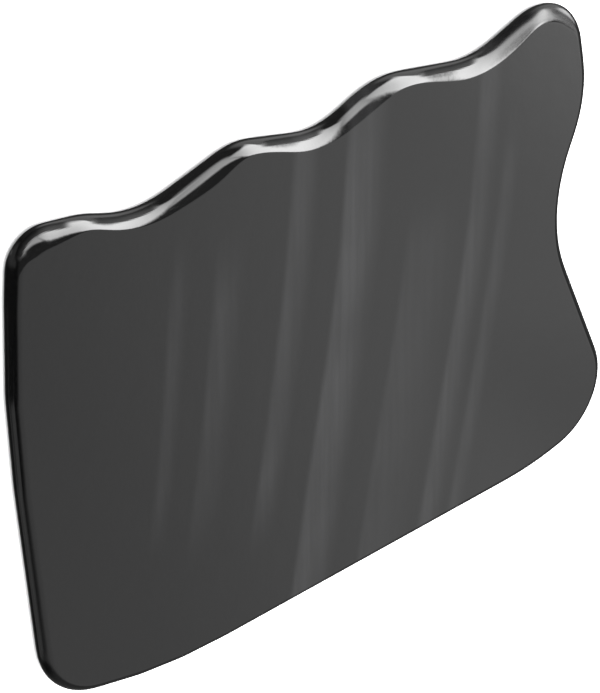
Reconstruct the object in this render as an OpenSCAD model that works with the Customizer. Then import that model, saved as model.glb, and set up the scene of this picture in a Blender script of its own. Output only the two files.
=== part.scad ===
// Gua sha scraper: one flat slab of polished stone with a half-round rim.
// It has a wavy edge, a straight edge, a plain end and a concave end with a horn.
// The slab lies on its back face. X runs along the straight edge towards the concave end,
// Y runs across the slab towards the wavy edge, and Z is up, out of the front face.
// The origin is the centre of the back face.

/* [Slab] */
// Length, from the plain end to the toe of the concave end
slab_length = 110; // [109:1:116]
// Width, from the straight edge to the highest wave crest
slab_width = 78.5; // [78:0.5:80]
// Thickness of the slab, which is also the diameter of its half-round rim
slab_thickness = 2.7; // [2:0.1:4]

/* [Wavy edge] */
// Spacing of the wave crests along the slab
wave_pitch = 25.4; // [25:0.1:25.8]
// Distance of the shoulder, which is the first crest, from the plain end
shoulder_x = 13.2; // [12.8:0.1:13.6]
// Height of the guide lines' zigzag, which the arcs round off to a shallower wave
wave_height = 4.1; // [3.6:0.1:4.5]
// Distance of each valley from the plain end
valley_x = [22.2, 53.3, 82.2];
// Radius of each valley
valley_radius = [17, 12.5, 15];
// Radius of the shoulder and of the two crests
crest_radius = [16, 11, 14.5];

/* [Concave end] */
// Depth of the waist's guide corner behind the toe
waist_depth = 12.7; // [12:0.1:12.8]
// Height of the waist above the straight edge
waist_y = 43; // [42:0.5:43]
// Radius of the concave waist
waist_radius = 25; // [18:0.5:25]
// Height of the horn's cheek above the straight edge
cheek_y = 59.6; // [59.5:0.1:60.5]
// Radius of the horn's cheek
cheek_radius = 20; // [12:0.5:20]
// Radius of the horn's tip
horn_radius = 9; // [6:0.5:9]
// Radius of the toe, the rounded corner at the straight edge
toe_radius = 10.3; // [8:0.1:10.5]

/* [Plain end] */
// Radius of the small corner between the plain end and the wavy edge
brow_radius = 5; // [4.5:0.1:6]
// Radius of the corner between the plain end and the straight edge
heel_radius = 11.5; // [8:0.5:11.5]
// Radius of the plain end's slight outward bow
bow_radius = 170; // [120:10:180]

/* [Hidden] */

rim_radius = slab_thickness / 2;
rim_steps = 12;       // flats across the half-round rim
arc_step_angle = 6;   // largest turn between two neighbouring points of the outline

valley_y = slab_width - 4.8;
crest_y = valley_y + wave_height;

// The guide polygon, anticlockwise, as [x, y, radius of the arc that rounds the corner].
guide = [
    [-0.5, 55, bow_radius],                                   // bow of the plain end
    [3.85, 5.55, heel_radius],                                // heel
    [23.5, 0, 84],                                            // rise of the straight edge to the heel
    [slab_length - 14, 0, 48],                                // rise of the straight edge to the toe
    [slab_length + 4.1, 4, toe_radius],                       // toe
    [slab_length - waist_depth, waist_y, waist_radius],       // waist
    [slab_length - 5, cheek_y, cheek_radius],                 // cheek of the horn
    [slab_length - 9, slab_width + 1.5, horn_radius],         // tip of the horn
    [valley_x[2], valley_y, valley_radius[2]],
    [shoulder_x + 2 * wave_pitch, crest_y, crest_radius[2]],
    [valley_x[1], valley_y, valley_radius[1]],
    [shoulder_x + wave_pitch, crest_y, crest_radius[1]],
    [valley_x[0], valley_y, valley_radius[0]],
    [shoulder_x, crest_y - 0.6, crest_radius[0]],             // shoulder
    [1.45, slab_width + 1, brow_radius]                        // brow
];
count = len(guide);

function point(i) = let (g = guide[(i + count) % count]) [g.x, g.y];
function heading(i) = let (d = point(i + 1) - point(i)) atan2(d.y, d.x);
function along(angle) = [cos(angle), sin(angle)];
function wrap(angle) = angle > 180 ? angle - 360 : angle < -180 ? angle + 360 : angle;

// How far the outline turns at a corner. It is positive where the outline is convex.
function turn(i) = wrap(heading(i) - heading(i - 1));
function tangent_length(i) = guide[i % count][2] * tan(abs(turn(i)) / 2);
function arc_start(i) = point(i) - tangent_length(i) * along(heading(i - 1));
function arc_end(i) = point(i) + tangent_length(i) * along(heading(i));
function arc_side(i) = sign(turn(i));
function arc_centre(i) = arc_start(i) + arc_side(i) * guide[i][2] * along(heading(i - 1) + 90);
function arc_angle(i) = heading(i - 1) - arc_side(i) * 90;

function arc_steps(i) = ceil(abs(turn(i)) / arc_step_angle);

// The outline as a ring of points, moved inwards by inset and placed at height z.
function ring(inset, z) = [
    for (i = [0 : count - 1])
        for (step = [0 : arc_steps(i)])
            let (
                radius = guide[i][2] - arc_side(i) * inset,
                p = arc_centre(i) + radius * along(arc_angle(i) + turn(i) * step / arc_steps(i))
            )
                [p.x, p.y, z]
];

// The slab as rings stacked round the half-round rim, closed by a flat face on each side.
// Both faces are fans about the middle of the slab, from which the whole outline is in view.
module rounded_slab() {
    rim_angles = [for (k = [0 : rim_steps]) -90 + 180 * k / rim_steps];
    rings = [for (a = rim_angles) ring(rim_radius * (1 - cos(a)), rim_radius * (1 + sin(a)))];
    size = len(rings[0]);
    points = concat(
        [for (r = rings) for (p = r) p],
        [for (z = [0, slab_thickness]) [slab_length / 2, slab_width / 2, z]]
    );
    back_middle = len(points) - 2;
    front_middle = len(points) - 1;
    front_ring = rim_steps * size;
    rim_faces = [
        for (k = [0 : rim_steps - 1])
            for (j = [0 : size - 1])
                let (low = k * size, high = low + size, next = (j + 1) % size)
                    [low + j, high + j, high + next, low + next]
    ];
    back_face = [for (j = [0 : size - 1]) [back_middle, j, (j + 1) % size]];
    front_face = [
        for (j = [0 : size - 1])
            [front_middle, front_ring + (j + 1) % size, front_ring + j]
    ];
    polyhedron(points, concat(rim_faces, back_face, front_face));
}

// The stock sheet, whose two surfaces are the slab's flat faces.
module stock_sheet() {
    margin = 10;
    translate([-margin, -margin, 0])
        cube([slab_length + 2 * margin, slab_width + 2 * margin, slab_thickness]);
}

module scraper_blade() {
    color([0.17, 0.17, 0.18])
        translate([-slab_length / 2, -slab_width / 2, 0])
            intersection() {
                rounded_slab();
                stock_sheet();
            }
}

scraper_blade();
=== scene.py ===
"""A gua sha scraper of black polished stone on a pale floor.

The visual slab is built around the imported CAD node: it takes the node's outline, rounds it
smoothly, and gives the rim its hand-ground width, which swells after each valley of the wavy edge.
All lengths are in metres, in the part's own frame: X runs along the slab from its plain end to its
horn, Y runs across it towards the wavy edge, and Z is up, out of its front face.
"""

import math

import bpy
import numpy as np
from mathutils import Matrix, Vector


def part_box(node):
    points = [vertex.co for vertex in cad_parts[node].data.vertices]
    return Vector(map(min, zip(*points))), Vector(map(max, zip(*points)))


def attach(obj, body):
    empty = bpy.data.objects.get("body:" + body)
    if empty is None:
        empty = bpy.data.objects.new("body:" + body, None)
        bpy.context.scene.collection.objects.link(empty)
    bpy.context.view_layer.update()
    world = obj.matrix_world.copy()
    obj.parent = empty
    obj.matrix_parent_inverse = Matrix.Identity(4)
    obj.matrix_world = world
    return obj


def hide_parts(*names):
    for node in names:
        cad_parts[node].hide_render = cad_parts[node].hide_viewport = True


NODE = "scraper_blade"
MM = 0.001

# Outline
OUTLINE_POINTS = 1800
OUTLINE_SMOOTHING = 0.7 * MM
WAVY_SHARE_BLEND = 1.4 * MM

# Rim: its steps from face to face, its width on the plain and on the wavy edges, and how that
# width swells along the waves
RIM_STEPS = 40
EDGE_BLEND = 0.12 * MM
PLAIN_RIM_WIDTH = 1.4 * MM
WAVY_RIM_WIDTH = 2.45 * MM
WAVY_RIM_SWELL = 0.85 * MM
SWELL_PITCH = 28.0 * MM
SWELL_SPREAD = 0.2
SWELL_LAG = 0.8

# The crease between the front or back face and the wavy rim
WAVY_CREASE = math.radians(12)

# Places along the slab, from its plain end
FIRST_NARROW = 15.0 * MM
FIRST_VALLEY = 19.5 * MM
VALLEY_PITCH = 28.6 * MM
BROW_END = 7.5 * MM
BROW_BLEND = 5.0 * MM
CREASE_END = 80.0 * MM
HORN_FINISH_START = 81.0 * MM
HORN_START = 88.0 * MM
HORN_BLEND = 8.0 * MM

# Camera: the angles are seen from the slab's front face, with the wavy edge up
VIEW_SIDE = math.radians(42.8)
VIEW_RISE = math.radians(33.0)
VIEW_DISTANCE = 519.0 * MM
VIEW_AIM = Vector((-4.70, 1.90, 0)) * MM
LENS_MM = 199.3

# Stone: lighter streaks painted into its colour, a painted reflection of pale streaks in the
# surroundings. Each streak has its left side, width, strength, and its two ends along the slab's
# width, in millimetres from the middle of the slab
STONE_IOR = 1.58
STONE_DARK = 0.0010
PAINTED_STREAK_LEVEL = 0.011
# Painted reflection: these streaks copy reflected light into the stone's colour.
PAINTED_STREAKS = [
    (-31.0, 3.0, 0.40, -14, 24),
    (-23.5, 5.0, 0.50, -18, 22),
    (-11.0, 4.5, 0.70, -22, 45),
    (-1.0, 7.0, 1.00, -45, 45),
    (12.0, 9.0, 0.40, -45, 12),
    (24.0, 4.0, 0.65, -45, 45),
    (30.0, 3.0, 0.50, -45, 18),
]
STREAK_LEAN = 0.135
STREAK_BEND = 0.8

# Finish: the roughness of the polished faces, what is added to it elsewhere, and the specular level
POLISH = 0.05
EDGE_DULLNESS = 0.12
MISSED_DULLNESS = 0.30
HORN_DULLNESS = 0.16
WEAR_DULLNESS = 0.03
FULL_GLOSS = 0.5
MISSED_GLOSS = 0.09
HAND_WAVE_DEPTH = 0.007 * MM
GRAIN_DEPTH = 0.0025 * MM

# Light
ROOM_LIGHT = 2.4
KEY_POWER = 24.0
KEY_SIZE = 0.9
KEY_PLACE = Vector((-0.25, 0.45, 1.1))

# Floor
FLOOR_HALF = 3.0
FLOOR_GAP = 0.02 * MM
FLOOR_GREY = 0.93


# ---------------------------------------------------------------- slab

def node_outline(mesh, low, high):
    """The node's widest ring of vertices, halfway up the rim, in order round the middle."""
    middle = (low.z + high.z) / 2
    ring = np.array([v.co[:2] for v in mesh.vertices if abs(v.co.z - middle) < 1e-5])
    centre = (np.array(low[:2]) + np.array(high[:2])) / 2
    turn = np.arctan2(ring[:, 1] - centre[1], ring[:, 0] - centre[0])
    ring = ring[np.argsort(turn)]
    gap = np.linalg.norm(ring - np.roll(ring, 1, axis=0), axis=1)
    return ring[gap > 1e-6]


def closed_resample(ring, count):
    """The closed polygon as points at even spacing along it, and that spacing."""
    loop = np.vstack([ring, ring[:1]])
    run = np.concatenate([[0], np.cumsum(np.linalg.norm(np.diff(loop, axis=0), axis=1))])
    at = np.linspace(0, run[-1], count, endpoint=False)
    points = np.stack([np.interp(at, run, loop[:, k]) for k in (0, 1)], axis=1)
    return points, run[-1] / count


def smooth_round(values, spacing, radius):
    """Values round a closed loop after a Gaussian blur of that radius."""
    count = len(values)
    steps = np.minimum(np.arange(count), count - np.arange(count)) * spacing
    kernel = np.exp(-0.5 * (steps / radius) ** 2)
    kernel /= kernel.sum()
    spectrum = np.fft.fft(kernel)
    flat = values.reshape(count, -1)
    out = np.fft.ifft(np.fft.fft(flat, axis=0) * spectrum[:, None], axis=0).real
    return out.reshape(values.shape)


def outward_normals(points):
    """The unit normal at each point of an outline that runs anticlockwise."""
    along = np.roll(points, -1, axis=0) - np.roll(points, 1, axis=0)
    along /= np.linalg.norm(along, axis=1)[:, None]
    return np.stack([along[:, 1], -along[:, 0]], axis=1)


def wavy_share(points, normals, spacing):
    """1 on the wavy edge, 0 on the other edges, with a soft change at its two ends."""
    top = (normals[:, 1] > 0.5) & (points[:, 1] > 0)
    return np.clip(smooth_round(top.astype(float), spacing, WAVY_SHARE_BLEND), 0, 1)


def before_horn(points, left, start=HORN_START):
    """1 along the waves, falling to 0 on the horn."""
    return 1 - np.clip((points[:, 0] - left - start) / HORN_BLEND, 0, 1)


def swell(points, left):
    """1 where the rim is widest, after each valley, and -1 where it is narrowest."""
    phase = 2 * math.pi * (points[:, 0] - left - FIRST_NARROW) / SWELL_PITCH
    lag = SWELL_LAG * (1 - np.cos(phase)) / 2
    return -before_horn(points, left) * np.cos(phase + SWELL_SPREAD * np.sin(phase) - lag)


def missed_by_wheel(points, left):
    """Where the polishing wheel misses the rim: up to 1 in each valley and round the brow."""
    phase = 2 * math.pi * (points[:, 0] - left - FIRST_VALLEY) / VALLEY_PITCH
    valley = before_horn(points, left) * np.cos(phase)
    brow = 1 - np.clip((points[:, 0] - left - BROW_END) / BROW_BLEND, 0, 1)
    return np.maximum(valley, brow)


def rim_width(points, share, left):
    """How far the ground rim reaches in from the outline."""
    wavy = WAVY_RIM_WIDTH + WAVY_RIM_SWELL * swell(points, left)
    return PLAIN_RIM_WIDTH + share * (wavy - PLAIN_RIM_WIDTH)


def rim_ring(points, normals, width, crease, half, angle):
    """One ring of the rim. The angle runs from the front face, 0, to the back face, pi."""
    quarter = math.pi / 2
    tilt = crease + (quarter - crease) * (1 - abs(1 - angle / quarter))
    reach = width / (1 - np.sin(crease))
    inset = reach * (1 - np.sin(tilt))
    rise = half / np.cos(crease) * np.cos(tilt)
    towards = 1 if angle <= quarter else -1
    flat = points - normals * inset[:, None]
    return np.column_stack([flat, half + towards * rise])


def flat_ring(points, normals, width, height):
    """A ring just inside the rim, on the flat face, so the face itself shades flat."""
    inset = width + EDGE_BLEND
    return np.column_stack([points - normals * inset[:, None], np.full(len(points), height)])


def add_attribute(mesh, name, values, rings):
    """Store one value per outline point on every ring, for the material. The two hubs get 0."""
    attribute = mesh.attributes.new(name, "FLOAT", "POINT")
    attribute.data.foreach_set("value", np.append(np.tile(values, rings), [0, 0]))


def closed_faces(count, rings, hubs):
    """Quads between neighbouring rings, and a fan about a hub on the first and the last ring."""
    front_hub, back_hub = hubs
    last = (rings - 1) * count
    faces = []
    for j in range(count):
        n = (j + 1) % count
        for base in range(0, last, count):
            faces.append((base + j, base + count + j, base + count + n, base + n))
        faces.append((front_hub, j, n))
        faces.append((back_hub, last + n, last + j))
    return faces


def slab_mesh(source, low, high):
    """The whole slab as one closed mesh: rings round the rim, and a flat fan on each side."""
    ring = node_outline(source, low, high)
    points, spacing = closed_resample(ring, OUTLINE_POINTS)
    points = smooth_round(points, spacing, OUTLINE_SMOOTHING)
    normals = outward_normals(points)
    share = wavy_share(points, normals, spacing)
    width = rim_width(points, share, low.x)
    crease = WAVY_CREASE * share * before_horn(points, low.x, CREASE_END)
    half = (high.z - low.z) / 2
    angles = [math.pi * k / RIM_STEPS for k in range(RIM_STEPS + 1)]
    rings = [rim_ring(points, normals, width, crease, half, a) for a in angles]
    rings.insert(0, flat_ring(points, normals, width, 2 * half))
    rings.append(flat_ring(points, normals, width, 0))
    count = len(points)
    middle = (low + high) / 2
    hubs = [[middle.x, middle.y, 2 * half], [middle.x, middle.y, 0]]
    verts = np.vstack(rings + [hubs])
    faces = closed_faces(count, len(rings), (len(verts) - 2, len(verts) - 1))
    mesh = bpy.data.meshes.new("polished_slab")
    mesh.from_pydata(verts.tolist(), [], faces)
    mesh.validate()
    mesh.update()
    for polygon in mesh.polygons:
        polygon.use_smooth = True
    horn = 1 - before_horn(points, low.x, HORN_FINISH_START)
    add_attribute(mesh, "missed", missed_by_wheel(points, low.x) * share, len(rings))
    add_attribute(mesh, "horn", horn * share, len(rings))
    return mesh


# ---------------------------------------------------------------- shader helpers

class Graph:
    """Short ways to add and link the nodes of one shader tree."""

    def __init__(self, tree):
        self.tree = tree
        tree.nodes.clear()

    def add(self, kind):
        """A new node of that kind."""
        return self.tree.nodes.new(kind)

    def feed(self, socket, value):
        """Give an input socket a value, or link it to the output that holds the value."""
        if isinstance(value, bpy.types.NodeSocket):
            self.tree.links.new(value, socket)
        else:
            socket.default_value = value

    def math(self, operation, first, second=0.0):
        node = self.add("ShaderNodeMath")
        node.operation = operation
        self.feed(node.inputs[0], first)
        self.feed(node.inputs[1], second)
        return node.outputs[0]

    def total(self, *terms):
        value = terms[0]
        for term in terms[1:]:
            value = self.math("ADD", value, term)
        return value

    def product(self, *factors):
        value = factors[0]
        for factor in factors[1:]:
            value = self.math("MULTIPLY", value, factor)
        return value

    def most(self, *values):
        value = values[0]
        for other in values[1:]:
            value = self.math("MAXIMUM", value, other)
        return value

    def ramp(self, value, low, high, start=0.0, end=1.0):
        """A smooth change from start to end while the value goes from low to high."""
        node = self.add("ShaderNodeMapRange")
        node.interpolation_type = "SMOOTHSTEP"
        self.feed(node.inputs["Value"], value)
        self.feed(node.inputs["From Min"], low)
        self.feed(node.inputs["From Max"], high)
        self.feed(node.inputs["To Min"], start)
        self.feed(node.inputs["To Max"], end)
        return node.outputs["Result"]

    def dot(self, vector, axis):
        node = self.add("ShaderNodeVectorMath")
        node.operation = "DOT_PRODUCT"
        self.feed(node.inputs[0], vector)
        self.feed(node.inputs[1], axis)
        return node.outputs["Value"]

    def stretched(self, vector, scale):
        node = self.add("ShaderNodeVectorMath")
        node.operation = "MULTIPLY"
        self.feed(node.inputs[0], vector)
        self.feed(node.inputs[1], scale)
        return node.outputs["Vector"]

    def attribute(self, name):
        node = self.add("ShaderNodeAttribute")
        node.attribute_name = name
        return node.outputs["Fac"]

    def noise(self, vector, scale, detail=2.0, roughness=0.5):
        node = self.add("ShaderNodeTexNoise")
        self.feed(node.inputs["Vector"], vector)
        self.feed(node.inputs["Scale"], scale)
        self.feed(node.inputs["Detail"], detail)
        self.feed(node.inputs["Roughness"], roughness)
        return node.outputs["Fac"]


# ---------------------------------------------------------------- stone

def painted_streak_mask(g, across, along, sheen_row):
    """One streak of painted reflection: a crisp left side, a soft right side, and two soft ends."""
    left, width, strength, low, high = sheen_row
    rise = g.ramp(across, (left - 0.6) * MM, (left + 0.8) * MM)
    fall = g.ramp(across, (left + 0.35 * width) * MM, (left + 1.25 * width) * MM, 1.0, 0.0)
    start = g.ramp(along, (low - 7) * MM, (low + 7) * MM)
    end = g.ramp(along, (high - 7) * MM, (high + 7) * MM, 1.0, 0.0)
    return g.product(rise, fall, start, end, strength)


def painted_streak_sum(g, place):
    """All the streaks of painted reflection. They lean and bend together."""
    x = g.dot(place, (1, 0, 0))
    y = g.dot(place, (0, 1, 0))
    sway = g.math("SUBTRACT", g.noise(place, 14.0, 1.0), 0.5)
    lean = g.math("MULTIPLY", y, -STREAK_LEAN)
    bend = g.product(y, y, STREAK_BEND)
    across = g.total(x, lean, bend, g.math("MULTIPLY", sway, 3.5 * MM))
    streak_sheen = g.total(*[painted_streak_mask(g, across, y, sheen_row) for sheen_row in PAINTED_STREAKS])
    streak = g.noise(g.stretched(place, (900, 45, 300)), 1.0, 3.0)
    cloud = g.noise(place, 60.0, 2.0)
    return g.product(streak_sheen, g.ramp(streak, 0.3, 0.7, 0.75, 1.15), g.ramp(cloud, 0.3, 0.7, 0.7, 1.1))


def stone_colour(g, place):
    """Near-black stone with a fine grain, a little lighter in the streaks of painted reflection."""
    grain = g.ramp(g.noise(place, 2600.0, 2.0), 0.3, 0.7, 0.6, 1.4)
    dark = g.math("MULTIPLY", grain, STONE_DARK)
    # Painted reflection: the lighter streaks stand in for reflected light and are not a colour of
    # the stone.
    light = g.math("MULTIPLY", painted_streak_sum(g, place), PAINTED_STREAK_LEVEL)
    value = g.total(dark, light)
    node = g.add("ShaderNodeCombineColor")
    g.feed(node.inputs["Red"], value)
    g.feed(node.inputs["Green"], value)
    g.feed(node.inputs["Blue"], g.math("MULTIPLY", value, 1.03))
    return node.outputs["Color"]


def unpolished(g, level):
    """The band of the rim that the polishing wheel does not reach."""
    return g.product(
        g.ramp(g.attribute("missed"), 0.2, 0.7),
        g.ramp(level, 0.55, 0.70),
        g.ramp(level, 0.89, 0.93, 1.0, 0.0),
    )


def stone_roughness(g, place, level, missed):
    """A good polish on the faces, a duller one on the outside of the rim, and fine wear."""
    steep = g.ramp(level, 0.25, 0.75, 1.0, 0.0)
    horn = g.product(g.attribute("horn"), g.ramp(level, 0.990, 0.998, 1.0, 0.0))
    wear = g.ramp(g.noise(place, 220.0, 4.0, 0.6), 0.45, 0.75)
    scratch = g.ramp(g.noise(g.stretched(place, (500, 4000, 500)), 1.0, 2.0), 0.62, 0.72)
    return g.total(
        POLISH,
        g.product(steep, EDGE_DULLNESS),
        g.product(missed, MISSED_DULLNESS),
        g.product(horn, HORN_DULLNESS),
        g.product(wear, WEAR_DULLNESS),
        g.product(scratch, WEAR_DULLNESS),
    )


def bump(g, height, depth):
    """A bump node at full strength."""
    node = g.add("ShaderNodeBump")
    g.feed(node.inputs["Strength"], 1.0)
    g.feed(node.inputs["Distance"], depth)
    g.feed(node.inputs["Height"], height)
    return node


def stone_normal(g, place):
    """The slow waves of hand polishing and a very fine grain."""
    slow = bump(g, g.noise(place, 260.0, 1.0), HAND_WAVE_DEPTH)
    fine = bump(g, g.noise(place, 1500.0, 4.0), GRAIN_DEPTH)
    g.feed(fine.inputs["Normal"], slow.outputs["Normal"])
    return fine.outputs["Normal"]


def stone_material():
    """Black polished stone. Level is 1 where the surface lies flat and 0 at the rim's outermost."""
    mat = bpy.data.materials.new("polished_stone")
    mat.use_nodes = True
    g = Graph(mat.node_tree)
    place = g.add("ShaderNodeTexCoord").outputs["Object"]
    normal = g.add("ShaderNodeNewGeometry").outputs["True Normal"]
    stone = g.add("ShaderNodeBsdfPrincipled")
    g.feed(stone.inputs["Base Color"], stone_colour(g, place))
    level = g.math("ABSOLUTE", g.dot(normal, (0, 0, 1)))
    missed = unpolished(g, level)
    gloss = g.ramp(missed, 0.0, 1.0, FULL_GLOSS, MISSED_GLOSS)
    g.feed(stone.inputs["Roughness"], stone_roughness(g, place, level, missed))
    g.feed(stone.inputs["Specular IOR Level"], gloss)
    g.feed(stone.inputs["Normal"], stone_normal(g, place))
    g.feed(stone.inputs["IOR"], STONE_IOR)
    out = g.add("ShaderNodeOutputMaterial")
    g.feed(out.inputs["Surface"], stone.outputs["BSDF"])
    return mat


# ---------------------------------------------------------------- studio

def direction(longitude, latitude):
    """A direction in degrees: longitude turns from +Z towards +X, latitude towards +Y."""
    lon = math.radians(longitude)
    lat = math.radians(latitude)
    return Vector((math.sin(lon) * math.cos(lat), math.sin(lat), math.cos(lon) * math.cos(lat)))


def side(g, way, start, end, soft):
    """1 to the left of the great circle that runs from start to end, 0 to its right."""
    axis = direction(*start).cross(direction(*end)).normalized()
    blur = math.sin(math.radians(soft))
    return g.ramp(g.dot(way, axis), -blur, blur)


def strip(g, way, start, end, half_width, soft):
    """1 within half_width degrees of the great circle that runs from start to end."""
    axis = direction(*start).cross(direction(*end)).normalized()
    near = math.sin(math.radians(half_width - soft))
    far = math.sin(math.radians(half_width + soft))
    return g.ramp(g.math("ABSOLUTE", g.dot(way, axis)), near, far, 1.0, 0.0)


def softbox(g, way):
    """The part of the surroundings that the large softbox and its side panel fill."""
    up = g.dot(way, (0, 1, 0))
    right = g.most(side(g, way, (45, -22), (48, -4), 1.5), side(g, way, (48, -4), (56, 20), 2))
    main = g.product(
        side(g, way, (24, 6), (43, -26), 1.5),
        side(g, way, (60, 38), (25, 8), 2.5),
        right,
        g.ramp(up, -0.44, -0.40),
        g.ramp(up, 0.36, 0.62, 1.0, 0.12),
    )
    panel = g.product(
        side(g, way, (-6, 9), (25, -6), 2),
        side(g, way, (33, -14), (24, 12), 3),
        g.ramp(up, 0.15, 0.38, 1.0, 0.0),
    )
    return g.most(main, panel)


def table_glow(g, way):
    """The pale table below the softbox. It fades out to the left and beyond the right side."""
    x = g.dot(way, (1, 0, 0))
    y = g.dot(way, (0, 1, 0))
    level = g.ramp(x, 0.50, 0.61, 0.55, 0.95)
    patch = g.product(g.ramp(x, 0.61, 0.66), g.ramp(y, -0.53, -0.46), 0.65)
    shade = g.product(g.ramp(x, 0.59, 0.615), g.ramp(y, -0.555, -0.53, 1.0, 0.0), -0.2)
    return g.product(
        g.total(level, patch, shade),
        side(g, way, (-8, -31), (-45, -46), 9),
        side(g, way, (56, -60), (56, 0), 5),
        g.ramp(y, -0.44, -0.40, 1.0, 0.0),
        g.ramp(y, -0.85, -0.70),
    )


def spot(g, way, longitude, latitude, radius, strength):
    """A small round light with a soft edge."""
    near = math.cos(math.radians(0.4 * radius))
    far = math.cos(math.radians(radius))
    return g.ramp(g.dot(way, direction(longitude, latitude)), far, near, 0.0, strength)


def reflected_light(g, way):
    """What the polished stone mirrors: the softbox, small lights beside it, and dim walls."""
    x = g.dot(way, (1, 0, 0))
    y = g.dot(way, (0, 1, 0))
    glow = g.product(softbox(g, way), g.ramp(x, 0.40, 0.70, 6.3, 15.0))
    window = g.product(
        strip(g, way, (-95, -40), (-58, -37), 5, 4),
        g.ramp(g.dot(way, direction(-76, -38)), 0.94, 0.985),
        0.6,
    )
    lamps = g.total(
        spot(g, way, 57, -15, 14, 1.6),
        spot(g, way, 76, -1, 13, 8.0),
        spot(g, way, 80, 32, 36, 1.6),
    )
    dim = g.ramp(x, -0.45, 0.05, 0.02, 0.20)
    left_wall = g.product(g.ramp(x, -0.75, -0.35, 1.0, 0.0), g.ramp(y, -0.25, 0.1), 0.4)
    return g.total(glow, window, lamps, dim, left_wall, table_glow(g, way))


def studio_world():
    """Plain pale light all round, with the studio's mirror image for glossy rays only."""
    world = bpy.data.worlds.new("studio")
    world.use_nodes = True
    bpy.context.scene.world = world
    g = Graph(world.node_tree)
    way = g.add("ShaderNodeTexCoord").outputs["Generated"]
    mirrored = g.add("ShaderNodeBackground")
    g.feed(mirrored.inputs["Strength"], reflected_light(g, way))
    plain = g.add("ShaderNodeBackground")
    g.feed(plain.inputs["Strength"], ROOM_LIGHT)
    mix = g.add("ShaderNodeMixShader")
    g.feed(mix.inputs[0], g.add("ShaderNodeLightPath").outputs["Is Glossy Ray"])
    g.feed(mix.inputs[1], plain.outputs[0])
    g.feed(mix.inputs[2], mirrored.outputs[0])
    out = g.add("ShaderNodeOutputWorld")
    g.feed(out.inputs["Surface"], mix.outputs[0])


def key_light():
    """A large soft light above the floor. It only shades; the world holds its mirror image."""
    data = bpy.data.lights.new("key", "AREA")
    data.shape = "SQUARE"
    data.size = KEY_SIZE
    data.energy = KEY_POWER
    obj = bpy.data.objects.new("key", data)
    bpy.context.scene.collection.objects.link(obj)
    obj.location = KEY_PLACE
    obj.rotation_euler = (-KEY_PLACE).to_track_quat("-Z", "Y").to_euler()
    obj.visible_glossy = False
    obj.visible_camera = False


def floor(level):
    """A plain pale floor, a hair below the slab's back face."""
    half = FLOOR_HALF
    corners = [(-half, -half), (half, -half), (half, half), (-half, half)]
    mesh = bpy.data.meshes.new("floor")
    mesh.from_pydata([(x, y, level - FLOOR_GAP) for x, y in corners], [], [(0, 1, 2, 3)])
    mat = bpy.data.materials.new("floor_paint")
    mat.use_nodes = True
    g = Graph(mat.node_tree)
    paint = g.add("ShaderNodeBsdfDiffuse")
    g.feed(paint.inputs["Color"], (FLOOR_GREY, FLOOR_GREY, FLOOR_GREY, 1))
    out = g.add("ShaderNodeOutputMaterial")
    g.feed(out.inputs["Surface"], paint.outputs[0])
    mesh.materials.append(mat)
    obj = bpy.data.objects.new("floor", mesh)
    bpy.context.scene.collection.objects.link(obj)
    obj.visible_glossy = False


def camera(middle):
    """The camera, aimed at the slab's middle plane."""
    data = bpy.data.cameras.new("camera")
    data.lens = LENS_MM
    data.clip_start = 0.01
    obj = bpy.data.objects.new("camera", data)
    bpy.context.scene.collection.objects.link(obj)
    level = math.cos(VIEW_RISE)
    back = Vector((-math.sin(VIEW_SIDE) * level, math.sin(VIEW_RISE), math.cos(VIEW_SIDE) * level))
    right = Vector((math.cos(VIEW_SIDE), 0, math.sin(VIEW_SIDE)))
    turn = Matrix((right, back.cross(right), back)).transposed()
    place = VIEW_AIM + Vector((0, 0, middle)) + back * VIEW_DISTANCE
    obj.matrix_world = Matrix.Translation(place) @ turn.to_4x4()
    bpy.context.scene.camera = obj


# ---------------------------------------------------------------- build

def polished_slab(source, low, high):
    """The piece that stands for the CAD node."""
    mesh = slab_mesh(source, low, high)
    mesh.materials.append(stone_material())
    slab = bpy.data.objects.new("polished_slab", mesh)
    bpy.context.scene.collection.objects.link(slab)
    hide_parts(NODE)
    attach(slab, "root")


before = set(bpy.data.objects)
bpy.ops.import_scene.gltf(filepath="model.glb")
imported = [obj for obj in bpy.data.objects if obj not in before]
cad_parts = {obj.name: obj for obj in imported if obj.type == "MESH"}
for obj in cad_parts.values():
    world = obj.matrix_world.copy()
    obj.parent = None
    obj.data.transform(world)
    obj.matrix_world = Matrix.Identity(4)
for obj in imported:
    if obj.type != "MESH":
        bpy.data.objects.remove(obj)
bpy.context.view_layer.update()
low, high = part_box(NODE)
polished_slab(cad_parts[NODE].data, low, high)
floor(low.z)
studio_world()
key_light()
camera((low.z + high.z) / 2)
bpy.context.scene.view_settings.view_transform = "Standard"
